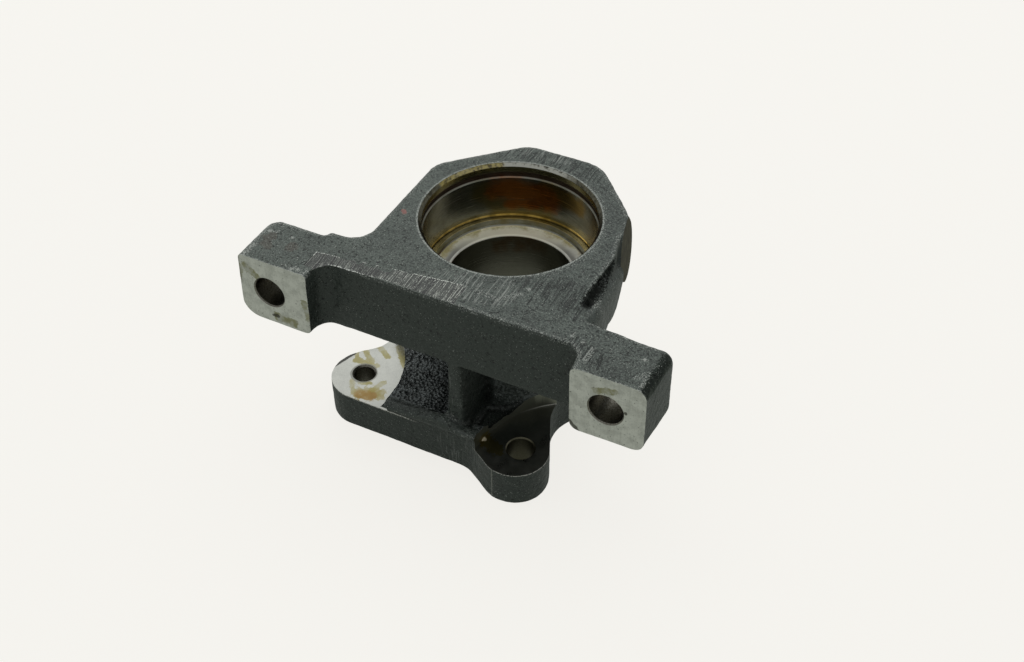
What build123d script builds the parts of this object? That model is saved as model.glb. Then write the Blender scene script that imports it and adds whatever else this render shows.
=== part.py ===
from build123d import *
import os
from math import acos, atan2, cos, degrees, hypot, radians, sin, tan

# Bearing block: one iron casting with a bored hub, a crossbar with two milled bolting faces
# and a foot with two milled ears. It was cast as one piece, so it is one solid.
# X runs along the crossbar, Y from its bolting faces back to the hub and Z up along the bore.
# The origin is on the bore's axis, on the underside of the foot. Sizes are in millimetres.

# Heights above the underside of the foot
BLOCK_HEIGHT = 110.5
BAR_HEIGHT = 38.9
BAR_UNDERSIDE = BLOCK_HEIGHT - BAR_HEIGHT
FOOT_HEIGHT = 29.5
EAR_SEAT_HEIGHT = 20.8

# Bearing bore, given as radii and as depths below the top face
SEAT_RADIUS = 45.0
SEAT_TOP = 9.0
SEAT_FOOT = 34.0
MOUTH_RADIUS = 45.2
MOUTH_CHAMFER = 1.8
RING_GROOVE_RADIUS = 46.75
RING_GROOVE_TOP = 5.1
RING_GROOVE_WIDTH = 3.2
RELIEF_DEPTH = 0.5
RELIEF_WIDTH = 1.4
STEP_RADIUS = 41.7
STEP_FOOT = 38.9
STEP_CORNER = 1.2
THROUGH_RADIUS = 33.1
LIP_CHAMFER = 0.8

# Hub: a round barrel under an eight-sided head
BARREL_RADIUS = 50.0
SKIRT_RADIUS = 62.0
SKIRT_FOOT = 66.0
HEAD_LEFT = 56.5
HEAD_REAR_LEFT = 56.5
HEAD_REAR = 60.7
HEAD_REAR_RIGHT = 58.7
HEAD_SIDE = 57.5
HEAD_RIGHT = 60.3
REAR_LEFT_FACING = 135.0
REAR_RIGHT_FACING = 41.5
SIDE_FACING = 11.5
HEAD_CORNER = 14.0
HEAD_WIDE_CORNER = 20.0
SHOULDER_LEFT = 75.3
SHOULDER_REAR = 50.6
SHOULDER_FILLET = 12.0

# Crossbar and its bolting faces
FACE_Y = -85.8
BAR_REAR_Y = -55.2
BAR_LEFT_X = -106.8
BAR_RIGHT_X = 109.6
BAR_LEFT_LEAN = 1.7
BAR_RIGHT_LEAN = 0.7
BAR_RIGHT_FLARE = 2.0
BAR_TOP_LEFT_CORNER = 2.2
BAR_FOOT_LEFT_CORNER = 9.0
BAR_RIGHT_CORNER = 6.0
RECESS_LEFT_X = -67.4
RECESS_RIGHT_X = 72.4
RECESS_LEFT_LEAN = 1.3
RECESS_RIGHT_LEAN = 0.65
RECESS_TOP_Y = -72.0
RECESS_FOOT_Y = -74.0
RECESS_CORNER = 8.0
RECESS_RIM = 1.2
LEFT_FACE_FOOT_CORNER = 3.0
RIGHT_FACE_TOP_CORNER = 4.5
RIGHT_FACE_FOOT_CORNER = 5.0
FADED_CORNER = 0.5
BAR_REAR_ROUND = 4.0
BAR_HOLE_RADIUS = 8.5
BAR_HOLE_SPACING = 181.4
BAR_HOLE_MIDDLE_X = -0.1
BAR_HOLE_DEPTH = 19.5
HOLE_CHAMFER = 0.6

# Bevel ground along the front top edge, fading out near the middle
BEVEL_LEFT_WIDTH = 7.2
BEVEL_RIGHT_WIDTH = 14.0
BEVEL_LEFT_DROP = 1.9
BEVEL_RIGHT_DROP = 0.4
BEVEL_RIGHT_X = 4.0

# Foot: a plate with a rounded ear at each front corner
FOOT_FRONT_Y = -74.0
LEFT_EAR_RADIUS = 18.2
LEFT_EAR_CENTRE = (-60.0, FOOT_FRONT_Y + LEFT_EAR_RADIUS)
LEFT_HOLE_OFFSET = (-1.0, 0.8)
LEFT_HOLE_RADIUS = 5.7
LEFT_SINK = 0.9
RIGHT_EAR_RADIUS = 17.8
RIGHT_EAR_OVERHANG = 12.3
RIGHT_EAR_CENTRE = (36.6, FOOT_FRONT_Y - RIGHT_EAR_OVERHANG + RIGHT_EAR_RADIUS)
RIGHT_HOLE_OFFSET = (2.1, 2.0)
RIGHT_HOLE_RADIUS = 7.15
EAR_SWING = 32.0
SWING_FILLET = 18.0
NECK_FACING = 23.7
NECK_BARREL_ANGLE = -38.0
NECK_FILLET = 22.0
FLANK_EAR_ANGLE = 106.0
FLANK_FILLET = 10.0

# Milled seats on the ears, swept by a cutter whose edge leaves a round wall
MILL_RADIUS = 54.7
MILL_TOP = 60.0
LEFT_MILL_CENTRE = (-90.2, -69.1)
RIGHT_MILL_CENTRE = (73.2, -75.4)

# Rib between the foot and the crossbar, and the pocket on its right
RIB_LEFT_X = -0.3
RIB_RIGHT_X = 10.1
RIB_LEFT_DRAFT = 1.4
RIB_RIGHT_DRAFT = 0.7
RIB_EDGE = 4.0
RIB_SINK = 5.0
LIP_LEFT_X = -37.0
LIP_BEND_X = -12.0
LIP_BEND_RISE = 4.2
LIP_RISE = 6.9
LIP_RIGHT_RISE = 2.0
LIP_RIGHT_X = 20.0
POCKET_FLOOR = 21.5
POCKET_LIP_WIDTH = 6.0
RAMP_FOOT = (23.4, -50.2)
RAMP_HEADING = 49.0
RAMP_SLOPE = 27.5
RAMP_RUN = 40.0

# Gusset on the right flank, as (y, reach in x, fall of its top, depth of its foot) along its run,
# and the round boss above it
GUSSET_STATIONS = [
    (-57.0, 70.4, 0.05, 36.0),
    (-41.0, 69.3, 0.9, 33.0),
    (2.0, 62.6, 11.5, 27.0),
]
GUSSET_ROUND = 7.0
GUSSET_ROOT_X = 50.0
BOSS_CENTRE = (56.6, 19.3)
BOSS_DEPTH = 16.0
BOSS_RADIUS = 15.7
BOSS_FACING = 13.0
BOSS_TILT = 5.0
BOSS_LENGTH = 14.0
BOSS_CHAMFER = 0.6

CUT_MARGIN = 1.0


def outline(corners):
    """Closed flat face through corners given as (x, y, corner radius)."""
    points = [(x, y) for x, y, _ in corners]
    radii = [radius for _, _, radius in corners]
    return make_face(FilletPolyline(*points, radius=radii, close=True))


def crossing(facing_a, reach_a, facing_b, reach_b):
    """Corner in plan between two flats, each given by its facing and its reach from the bore."""
    a = radians(facing_a)
    b = radians(facing_b)
    x = (reach_a * sin(b) - reach_b * sin(a)) / sin(b - a)
    y = (reach_b * cos(a) - reach_a * cos(b)) / sin(b - a)
    return x, y


def rise(face, foot, top):
    """The flat face as a solid between two heights."""
    return extrude(Pos(0, 0, foot) * face, top - foot)


def on_circle(centre, radius, angle):
    """Point of a circle at an angle from the X axis."""
    return centre[0] + radius * cos(radians(angle)), centre[1] + radius * sin(radians(angle))


def head_plan():
    """Plan of the head, with the shoulder that joins it to the crossbar on its left."""
    rear_left = (REAR_LEFT_FACING, HEAD_REAR_LEFT)
    rear_right = (REAR_RIGHT_FACING, HEAD_REAR_RIGHT)
    side = (SIDE_FACING, HEAD_SIDE)
    inside_bar = RECESS_TOP_Y + RECESS_CORNER
    return outline([
        (-SHOULDER_LEFT, inside_bar, 0),
        (-SHOULDER_LEFT, -SHOULDER_REAR, RECESS_RIM),
        (-HEAD_LEFT, -SHOULDER_REAR, SHOULDER_FILLET),
        (*crossing(180, HEAD_LEFT, *rear_left), HEAD_CORNER),
        (*crossing(*rear_left, 90, HEAD_REAR), HEAD_CORNER),
        (*crossing(90, HEAD_REAR, *rear_right), HEAD_WIDE_CORNER),
        (*crossing(*rear_right, *side), HEAD_CORNER),
        (*crossing(*side, 0, HEAD_RIGHT), HEAD_CORNER),
        (HEAD_RIGHT, inside_bar, 0),
    ])


def hub():
    """Head, the skirt that draws it in below, and the barrel down to the underside."""
    plan = head_plan()
    head = rise(plan, BAR_UNDERSIDE, BLOCK_HEIGHT)
    skirt_foot = BLOCK_HEIGHT - SKIRT_FOOT
    skirt_side = Polygon(
        (0, BAR_UNDERSIDE),
        (SKIRT_RADIUS, BAR_UNDERSIDE),
        (BARREL_RADIUS, skirt_foot),
        (0, skirt_foot),
        align=None,
    )
    skirt = revolve(Plane.XZ * skirt_side, Axis.Z) & rise(plan, skirt_foot, BAR_UNDERSIDE)
    barrel = rise(Circle(BARREL_RADIUS), 0, BLOCK_HEIGHT - CUT_MARGIN)
    return head + skirt + barrel


def recess(height, left, right, back_y):
    """Plan of the recess between the bolting faces, at one height."""
    front = FACE_Y - CUT_MARGIN
    plan = outline([
        (left, front, 0),
        (left, back_y, RECESS_CORNER),
        (right, back_y, RECESS_CORNER),
        (right, front, 0),
    ])
    return Pos(0, 0, height) * plan


def rounding(x, z, radius, side, rise_way):
    """Cut that rounds an inner corner of a bolting face and fades out behind it."""
    sections = []
    for y, size in ((FACE_Y - CUT_MARGIN, radius), (RECESS_TOP_Y - RECESS_CORNER, FADED_CORNER)):
        reach = (size - CUT_MARGIN) / 2
        square = Pos(x + side * reach, z + rise_way * reach) * Rectangle(size + CUT_MARGIN, size + CUT_MARGIN)
        section = square - Pos(x + side * size, z + rise_way * size) * Circle(size)
        sections.append(Plane.XZ.offset(-y) * section)
    return loft(sections, ruled=True)


def crossbar():
    """Bar with rounded ends, cut back between its two bolting faces."""
    ends = []
    for y, flare in ((FACE_Y, 0), (BAR_REAR_Y, BAR_RIGHT_FLARE)):
        elevation = outline([
            (BAR_LEFT_X, BLOCK_HEIGHT, BAR_TOP_LEFT_CORNER),
            (BAR_RIGHT_X + flare, BLOCK_HEIGHT, BAR_RIGHT_CORNER),
            (BAR_RIGHT_X + flare + BAR_RIGHT_LEAN, BAR_UNDERSIDE, BAR_RIGHT_CORNER),
            (BAR_LEFT_X - BAR_LEFT_LEAN, BAR_UNDERSIDE, BAR_FOOT_LEFT_CORNER),
        ])
        ends.append(Plane.XZ.offset(-y) * elevation)
    bar = loft(ends, ruled=True)
    rear = bar.edges().filter_by(Axis.Z, tolerance=5).group_by(Axis.Y)[-1]
    bar = fillet(rear, BAR_REAR_ROUND)
    foot_left = RECESS_LEFT_X - RECESS_LEFT_LEAN
    foot_right = RECESS_RIGHT_X + RECESS_RIGHT_LEAN
    bar -= loft([
        recess(BAR_UNDERSIDE, foot_left, foot_right, RECESS_FOOT_Y),
        recess(BLOCK_HEIGHT, RECESS_LEFT_X, RECESS_RIGHT_X, RECESS_TOP_Y),
    ], ruled=True)
    bar -= rounding(foot_left, BAR_UNDERSIDE, LEFT_FACE_FOOT_CORNER, -1, 1)
    bar -= rounding(foot_right, BAR_UNDERSIDE, RIGHT_FACE_FOOT_CORNER, 1, 1)
    bar -= rounding(RECESS_RIGHT_X, BLOCK_HEIGHT, RIGHT_FACE_TOP_CORNER, 1, -1)
    return bar


def gusset():
    """Rounded web that falls from the crossbar towards the boss on the hub's right flank."""
    sections = []
    for y, reach, fall, foot in GUSSET_STATIONS:
        section = outline([
            (GUSSET_ROOT_X, BLOCK_HEIGHT - foot, 0),
            (reach, BLOCK_HEIGHT - foot, GUSSET_ROUND),
            (reach, BLOCK_HEIGHT - fall, GUSSET_ROUND),
            (GUSSET_ROOT_X, BLOCK_HEIGHT - fall, 0),
        ])
        sections.append(Plane.XZ.offset(-y) * section)
    return loft(sections, ruled=True)


def boss():
    """Round faced boss on the hub's right flank, leaning back a little."""
    tilt = radians(BOSS_TILT)
    facing = radians(BOSS_FACING)
    normal = (cos(facing) * cos(tilt), sin(facing) * cos(tilt), sin(tilt))
    face = Plane(origin=(*BOSS_CENTRE, BLOCK_HEIGHT - BOSS_DEPTH), z_dir=normal)
    stub = extrude(face * Circle(BOSS_RADIUS), -BOSS_LENGTH)
    rim = stub.edges().filter_by(GeomType.CIRCLE).sort_by_distance(face.origin)[0]
    return chamfer(rim, BOSS_CHAMFER)


def foot_plan():
    """Plan of the foot: an ear at each front corner, drawn in to the barrel behind them."""
    swing_start = on_circle(RIGHT_EAR_CENTRE, RIGHT_EAR_RADIUS, 270 - EAR_SWING)
    swing_run = (FOOT_FRONT_Y - swing_start[1]) / tan(radians(EAR_SWING))
    swing_corner = (swing_start[0] - swing_run, FOOT_FRONT_Y)
    neck_ear = on_circle(RIGHT_EAR_CENTRE, RIGHT_EAR_RADIUS, NECK_FACING)
    neck_barrel = on_circle((0, 0), BARREL_RADIUS - CUT_MARGIN, NECK_BARREL_ANGLE)
    flank_foot = on_circle(LEFT_EAR_CENTRE, LEFT_EAR_RADIUS, FLANK_EAR_ANGLE)
    flank_bearing = degrees(atan2(flank_foot[1], flank_foot[0])) % 360
    flank_swing = degrees(acos(BARREL_RADIUS / hypot(*flank_foot)))
    flank_top = on_circle((0, 0), BARREL_RADIUS, flank_bearing - flank_swing)
    web = Polygon(
        (LEFT_EAR_CENTRE[0], FOOT_FRONT_Y),
        swing_corner,
        swing_start,
        neck_ear,
        neck_barrel,
        (0, 0),
        flank_top,
        flank_foot,
        LEFT_EAR_CENTRE,
        align=None,
    )
    plan = web + Circle(BARREL_RADIUS)
    plan += Pos(*LEFT_EAR_CENTRE) * Circle(LEFT_EAR_RADIUS)
    plan += Pos(*RIGHT_EAR_CENTRE) * Circle(RIGHT_EAR_RADIUS)
    for place, radius in (
        (swing_corner, SWING_FILLET),
        (neck_barrel, NECK_FILLET),
        (flank_foot, FLANK_FILLET),
    ):
        plan = fillet(plan.vertices().sort_by_distance((*place, 0))[0], radius)
    return plan


def foot():
    """Foot plate with its cast pocket behind the front lip, right of the rib."""
    plate = rise(foot_plan(), 0, FOOT_HEIGHT)
    lip_y = FOOT_FRONT_Y + POCKET_LIP_WIDTH
    pocket = rise(
        outline([
            (RIB_RIGHT_X, lip_y, 0),
            (BARREL_RADIUS, lip_y, 0),
            (BARREL_RADIUS, 0, 0),
            (RIB_RIGHT_X, 0, 0),
        ]),
        POCKET_FLOOR,
        FOOT_HEIGHT + CUT_MARGIN,
    )
    ramp_start = Plane(
        origin=(*RAMP_FOOT, POCKET_FLOOR),
        x_dir=(cos(radians(RAMP_HEADING)), sin(radians(RAMP_HEADING)), 0),
        z_dir=(sin(radians(RAMP_HEADING)), -cos(radians(RAMP_HEADING)), 0),
    )
    ramp = Polygon((0, 0), (RAMP_RUN, 0), (RAMP_RUN, RAMP_RUN * tan(radians(RAMP_SLOPE))), align=None)
    pocket -= extrude(ramp_start * ramp, BARREL_RADIUS, both=True)
    return plate - pocket


def rib():
    """Upright rib from the foot to the crossbar, thinner towards its top, with round front edges."""
    back_y = RIB_SINK - BARREL_RADIUS
    sections = []
    for height, inward in ((0, -1), (BAR_UNDERSIDE, 1)):
        left = RIB_LEFT_X + inward * RIB_LEFT_DRAFT
        right = RIB_RIGHT_X - inward * RIB_RIGHT_DRAFT
        plan = outline([
            (left, back_y, 0),
            (left, FOOT_FRONT_Y, RIB_EDGE),
            (right, FOOT_FRONT_Y, RIB_EDGE),
            (right, back_y, 0),
        ])
        sections.append(Pos(0, 0, height) * plan)
    return loft(sections, ruled=True)


def front_lip():
    """Lip along the foot's front edge, rising to the rib on its left and low on its right."""
    front = Polygon(
        (LIP_LEFT_X, FOOT_HEIGHT - CUT_MARGIN),
        (LIP_LEFT_X, FOOT_HEIGHT),
        (LIP_BEND_X, FOOT_HEIGHT + LIP_BEND_RISE),
        (RIB_LEFT_X, FOOT_HEIGHT + LIP_RISE),
        (RIB_RIGHT_X, FOOT_HEIGHT + LIP_RIGHT_RISE),
        (LIP_RIGHT_X, FOOT_HEIGHT + LIP_RIGHT_RISE),
        (LIP_RIGHT_X, FOOT_HEIGHT - CUT_MARGIN),
        align=None,
    )
    return extrude(Plane.XZ.offset(-FOOT_FRONT_Y) * front, -POCKET_LIP_WIDTH)


def bearing_bore():
    """Stepped bore: mouth, groove for the snap ring, bearing seat, step and through bore."""
    top = BLOCK_HEIGHT
    groove_foot = RING_GROOVE_TOP + RING_GROOVE_WIDTH
    seat_chamfer = SEAT_TOP - groove_foot
    side = Polygon(
        (0, top + CUT_MARGIN),
        (MOUTH_RADIUS + MOUTH_CHAMFER, top + CUT_MARGIN),
        (MOUTH_RADIUS + MOUTH_CHAMFER, top),
        (MOUTH_RADIUS, top - MOUTH_CHAMFER),
        (MOUTH_RADIUS, top - RING_GROOVE_TOP),
        (RING_GROOVE_RADIUS, top - RING_GROOVE_TOP),
        (RING_GROOVE_RADIUS, top - groove_foot),
        (SEAT_RADIUS + seat_chamfer, top - groove_foot),
        (SEAT_RADIUS, top - SEAT_TOP),
        (SEAT_RADIUS, top - SEAT_FOOT + RELIEF_WIDTH),
        (SEAT_RADIUS + RELIEF_DEPTH, top - SEAT_FOOT + RELIEF_WIDTH),
        (SEAT_RADIUS + RELIEF_DEPTH, top - SEAT_FOOT),
        (STEP_RADIUS, top - SEAT_FOOT),
        (STEP_RADIUS, top - STEP_FOOT + STEP_CORNER),
        (STEP_RADIUS - STEP_CORNER, top - STEP_FOOT),
        (THROUGH_RADIUS + LIP_CHAMFER, top - STEP_FOOT),
        (THROUGH_RADIUS, top - STEP_FOOT - LIP_CHAMFER),
        (THROUGH_RADIUS, -CUT_MARGIN),
        (0, -CUT_MARGIN),
        align=None,
    )
    return revolve(Plane.XZ * side, Axis.Z)


def ear_seats():
    """Swept cuts that level both ears and leave a round wall beside them."""
    depth = MILL_TOP - EAR_SEAT_HEIGHT
    cuts = []
    for centre in (LEFT_MILL_CENTRE, RIGHT_MILL_CENTRE):
        cuts.append(Pos(*centre, EAR_SEAT_HEIGHT + depth / 2) * Cylinder(MILL_RADIUS, depth))
    return cuts


def drilled(plane, radius, depth, sink):
    """Drill for a through hole that starts on the plane, with its countersink."""
    drill = extrude(plane.offset(CUT_MARGIN) * Circle(radius), -depth - 2 * CUT_MARGIN)
    lip = loft([
        plane.offset(sink) * Circle(radius + 2 * sink),
        plane.offset(-sink) * Circle(radius),
    ])
    return drill + lip


def bolt_holes():
    """Two holes along the crossbar's faces and one down through each ear."""
    bar_length = BAR_REAR_Y - FACE_Y
    holes = []
    for side in (-1, 1):
        x = BAR_HOLE_MIDDLE_X + side * BAR_HOLE_SPACING / 2
        face = Plane(origin=(x, FACE_Y, BLOCK_HEIGHT - BAR_HOLE_DEPTH), z_dir=(0, -1, 0))
        holes.append(drilled(face, BAR_HOLE_RADIUS, bar_length, HOLE_CHAMFER))
    for centre, offset, radius, sink in (
        (LEFT_EAR_CENTRE, LEFT_HOLE_OFFSET, LEFT_HOLE_RADIUS, LEFT_SINK),
        (RIGHT_EAR_CENTRE, RIGHT_HOLE_OFFSET, RIGHT_HOLE_RADIUS, HOLE_CHAMFER),
    ):
        seat = Plane(origin=(centre[0] + offset[0], centre[1] + offset[1], EAR_SEAT_HEIGHT), z_dir=(0, 0, 1))
        holes.append(drilled(seat, radius, EAR_SEAT_HEIGHT, sink))
    return holes


def ground_bevel():
    """Wedge ground off the crossbar's front top edge, wider and shallower to the right."""
    left_x = RECESS_LEFT_X - RECESS_CORNER
    edge_y = RECESS_TOP_Y - CUT_MARGIN
    sections = []
    for x, width, drop in (
        (left_x, BEVEL_LEFT_WIDTH, BEVEL_LEFT_DROP),
        (BEVEL_RIGHT_X, BEVEL_RIGHT_WIDTH, BEVEL_RIGHT_DROP),
    ):
        past_edge = drop * CUT_MARGIN / width
        wedge = Polygon(
            (RECESS_TOP_Y + width, BLOCK_HEIGHT),
            (edge_y, BLOCK_HEIGHT + CUT_MARGIN),
            (edge_y, BLOCK_HEIGHT - drop - past_edge),
            align=None,
        )
        sections.append(Plane.YZ.offset(x) * wedge)
    return loft(sections, ruled=True)


block = hub() + crossbar() + gusset() + boss() + foot() + rib() + front_lip()
for cut in [bearing_bore(), *ear_seats(), *bolt_holes(), ground_bevel()]:
    block -= cut

os.makedirs("parts", exist_ok=True)
export_step(block, "parts/bearing_block.step")
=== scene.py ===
from math import cos, hypot, pi, radians, sin

import bmesh
import bpy
import numpy as np
from mathutils import Euler, Matrix, Vector, noise


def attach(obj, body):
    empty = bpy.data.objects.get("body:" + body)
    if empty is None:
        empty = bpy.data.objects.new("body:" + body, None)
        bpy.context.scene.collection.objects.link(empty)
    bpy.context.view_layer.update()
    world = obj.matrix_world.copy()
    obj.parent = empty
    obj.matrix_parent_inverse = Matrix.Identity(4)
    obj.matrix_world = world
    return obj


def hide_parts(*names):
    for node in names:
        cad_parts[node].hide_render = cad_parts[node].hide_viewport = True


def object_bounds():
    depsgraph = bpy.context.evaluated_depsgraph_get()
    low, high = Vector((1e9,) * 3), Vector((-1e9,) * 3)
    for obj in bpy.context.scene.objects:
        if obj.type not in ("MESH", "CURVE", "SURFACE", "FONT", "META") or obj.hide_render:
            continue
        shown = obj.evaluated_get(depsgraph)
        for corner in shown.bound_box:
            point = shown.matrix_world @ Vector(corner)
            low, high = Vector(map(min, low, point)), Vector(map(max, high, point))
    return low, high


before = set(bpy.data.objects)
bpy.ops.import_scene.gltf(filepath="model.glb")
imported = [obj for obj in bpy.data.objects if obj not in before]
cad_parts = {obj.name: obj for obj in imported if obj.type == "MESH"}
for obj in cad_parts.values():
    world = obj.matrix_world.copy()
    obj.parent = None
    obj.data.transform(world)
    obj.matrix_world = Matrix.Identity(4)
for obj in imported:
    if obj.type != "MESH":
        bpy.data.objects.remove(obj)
cad_low, cad_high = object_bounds()
scene = bpy.context.scene


# The cast skin
# Grey iron as it leaves the sand mould, under one coat of charcoal paint. The sand shows as fine
# speckle, and the paint is rubbed thin on proud grains and along the edges. Some light and shade
# is painted into the colour as well: highlights on edges, ridges and sand crowns, and shade in
# creases, hollows and the right pocket.

class Grade:
    """One socket of a finish, so that sums on it read as plain Python."""

    def __init__(self, finish, socket):
        self.finish = finish
        self.socket = socket

    def sum(self, operation, *terms):
        return self.finish.node("ShaderNodeMath", {"operation": operation}, dict(enumerate(terms)))

    def __add__(self, other):
        return self.sum("ADD", self, other)

    def __radd__(self, other):
        return self.sum("ADD", other, self)

    def __sub__(self, other):
        return self.sum("SUBTRACT", self, other)

    def __rsub__(self, other):
        return self.sum("SUBTRACT", other, self)

    def __mul__(self, other):
        return self.sum("MULTIPLY", self, other)

    def __rmul__(self, other):
        return self.sum("MULTIPLY", other, self)

    def __truediv__(self, other):
        return self.sum("DIVIDE", self, other)

    def __abs__(self):
        return self.sum("ABSOLUTE", self)


class Finish:
    """A surface finish: a material, its shader and the nodes that vary it."""

    def __init__(self, name, **plain):
        self.material = bpy.data.materials.new(name)
        self.material.use_nodes = True
        self.tree = self.material.node_tree
        self.shader = self.tree.nodes["Principled BSDF"]
        self.show(**plain)
        self.place = self.node("ShaderNodeTexCoord", output="Object")

    def show(self, **surfaces):
        """Sets or links the shader's own sockets."""
        for socket, value in surfaces.items():
            self.feed(self.shader.inputs[socket.replace("_", " ")], value)

    def feed(self, socket, value):
        if isinstance(value, Grade):
            self.tree.links.new(value.socket, socket)
        elif isinstance(value, tuple) and len(value) == 3 and socket.type == "RGBA":
            socket.default_value = (*value, 1)
        else:
            socket.default_value = value

    def node(self, kind, settings=None, inputs=None, output=0):
        made = self.tree.nodes.new(kind)
        for name, value in (settings or {}).items():
            setattr(made, name, value)
        for key, value in (inputs or {}).items():
            self.feed(made.inputs[key], value)
        return Grade(self, made.outputs[output])

    def axes(self):
        """X, Y and Z of the point on the surface, in metres."""
        return [self.node("ShaderNodeSeparateXYZ", {}, {0: self.place}, output=i) for i in range(3)]

    def vector(self, operation, *terms, output="Vector"):
        return self.node("ShaderNodeVectorMath", {"operation": operation}, dict(enumerate(terms)), output)

    def scaled(self, vector, factor):
        return self.node("ShaderNodeVectorMath", {"operation": "SCALE"}, {0: vector, "Scale": factor})

    def length(self, vector):
        return self.vector("LENGTH", vector, output="Value")

    def from_axis(self):
        """Distance from the bore's axis, in metres."""
        return self.length(self.vector("MULTIPLY", self.place, (1, 1, 0)))

    def noise(self, size, detail=2.0, rough=0.5, stretch=(1, 1, 1), shift=0.0):
        """Noise from 0 to 1 with grains of a size in metres, longer along the stretched axes."""
        scales = tuple(1 / (size * s) for s in stretch)
        at = self.vector("MULTIPLY_ADD", self.place, scales, (shift, shift, shift))
        return self.node("ShaderNodeTexNoise", {"noise_dimensions": "3D"},
                         {"Vector": at, "Scale": 1.0, "Detail": detail, "Roughness": rough}, output="Fac")

    def pebbles(self, size):
        """Rounded grains of a size in metres, 1 at their tops and 0 between them."""
        away = self.node("ShaderNodeTexVoronoi", {"feature": "SMOOTH_F1"},
                         {"Vector": self.scaled(self.place, 1 / size), "Scale": 1.0, "Smoothness": 0.35},
                         output="Distance")
        return 1.0 - away * away

    def step(self, value, low, high):
        """0 at low, 1 at high and a soft ramp between."""
        return self.node("ShaderNodeMapRange", {"interpolation_type": "SMOOTHSTEP", "clamp": True},
                         {"Value": value, "From Min": low, "From Max": high})

    def most(self, shares):
        """The largest of several shares."""
        largest = shares[0]
        for share in shares[1:]:
            largest = share.sum("MAXIMUM", largest, share)
        return largest

    def patch(self, start, end, width, ragged=None, fade=0.2):
        """1 within a width of the line between two places, with an uneven border that fades out."""
        run = Vector(end) - Vector(start)
        away = self.vector("SUBTRACT", self.place, tuple(start))
        if run.length > 0:
            along_run = self.vector("DOT_PRODUCT", away, tuple(run / run.length_squared), output="Value")
            share = self.node("ShaderNodeClamp", {}, {"Value": along_run})
            away = self.vector("SUBTRACT", away, self.scaled(tuple(run), share))
        reach = self.length(away) / width
        if ragged is not None:
            reach = reach + ragged
        return self.step(reach, 1 + fade, 1 - fade)

    def patches(self, face, marks, ragged=None, fade=0.2):
        """Patches on one face, each given as two ends in the face's own measures and a width."""
        return self.most([self.patch(face(a1, b1), face(a2, b2), width, ragged, fade)
                          for a1, b1, a2, b2, width in marks])

    def blend(self, share, first, second):
        """Colour between two, by a share from 0 to 1."""
        return self.node("ShaderNodeMix", {"data_type": "RGBA"}, {"Factor": share, 6: first, 7: second},
                         output=2)

    def coats(self, ground, layers):
        """Colour with others laid over it one by one, each by its own share."""
        for share, colour in layers:
            ground = self.blend(share, ground, colour)
        return ground

    def bump(self, height):
        """Normal with a relief, whose height is in millimetres."""
        return self.node("ShaderNodeBump", {}, {"Height": height, "Distance": 0.001, "Strength": 1.0},
                         output="Normal")


TOP_Z = 0.1105
EAR_SEAT_Z = 0.0208
BOLTING_Y = -0.0858
MOUTH_RIM_RADIUS = 0.0473
PAINT_DARK = (0.010, 0.014, 0.011)
PAINT_LIGHT = (0.083, 0.100, 0.086)
# Lighter paint on proud edges, partly rubbed paint and partly a painted highlight.
PAINT_PROUD_WEAR_AND_HIGHLIGHT = (0.10, 0.11, 0.10)
# Rubbed paint, also used for painted glints.
PAINT_RUBBED_AND_GLINT = (0.44, 0.46, 0.42)
# Dark for pits and furrows, and for painted shade in creases and hollows.
PAINT_PIT_AND_SHADE = (0.005, 0.006, 0.005)
# A painted highlight on a corner.
CORNER_HIGHLIGHT = (0.34, 0.35, 0.30)
# Bare iron at a cut rim, brightened as a painted highlight.
BARE_RIM_AND_HIGHLIGHT = (0.85, 0.84, 0.76)
RUST = (0.060, 0.036, 0.022)
RED_SPOT = (0.26, 0.10, 0.085)
SAND_HOLLOW = (0.028, 0.031, 0.032)
# Painted glints on the sand's crowns.
SAND_CROWN_GLINT = (0.290, 0.316, 0.313)
RUST_SPOTS = [(-0.0853, -0.0699), (-0.0999, -0.0683), (-0.0976, -0.0734)]
PALE_CHIPS = [
    (0.0650, -0.0671), (0.0711, -0.0686), (0.0331, -0.0465), (0.1006, -0.0667), (-0.1023, -0.0639),
    (-0.0892, -0.0635), (-0.0763, -0.0840), (-0.0733, -0.0830), (0.0688, -0.0500),
]
FLECK_LINES = [
    (0.1015, -0.0793, 0.1053, -0.0746), (0.1053, -0.0746, 0.1059, -0.0854),
    (0.0133, -0.0587, 0.0228, -0.0596), (0.0228, -0.0596, 0.0317, -0.0512),
    (0.0770, -0.0798, 0.0772, -0.0704), (-0.1030, -0.0844, -0.1028, -0.0762),
    (-0.1023, -0.0639, -0.0987, -0.0626),
]
PALE_FURROWS = [
    (0.0764, -0.0698, 0.0757, -0.0790), (0.0650, -0.0674, 0.0652, -0.0640),
    (0.0704, -0.0484, 0.0703, -0.0450), (-0.0763, -0.0842, -0.0752, -0.0812),
    (0.0045, -0.0560, 0.0040, -0.0510), (0.0110, -0.0590, 0.0112, -0.0520),
]
DARK_FURROWS = [
    (0.0368, -0.0398, 0.0373, -0.0571), (0.0430, -0.0440, 0.0440, -0.0538),
    (0.0557, -0.0320, 0.0551, -0.0499), (0.0600, -0.0480, 0.0610, -0.0570),
    (0.0840, -0.0823, 0.0830, -0.0740),
]


def top_face(x, y):
    return x, y, TOP_Z


def ear_seat(x, y):
    return x, y, EAR_SEAT_Z


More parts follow.
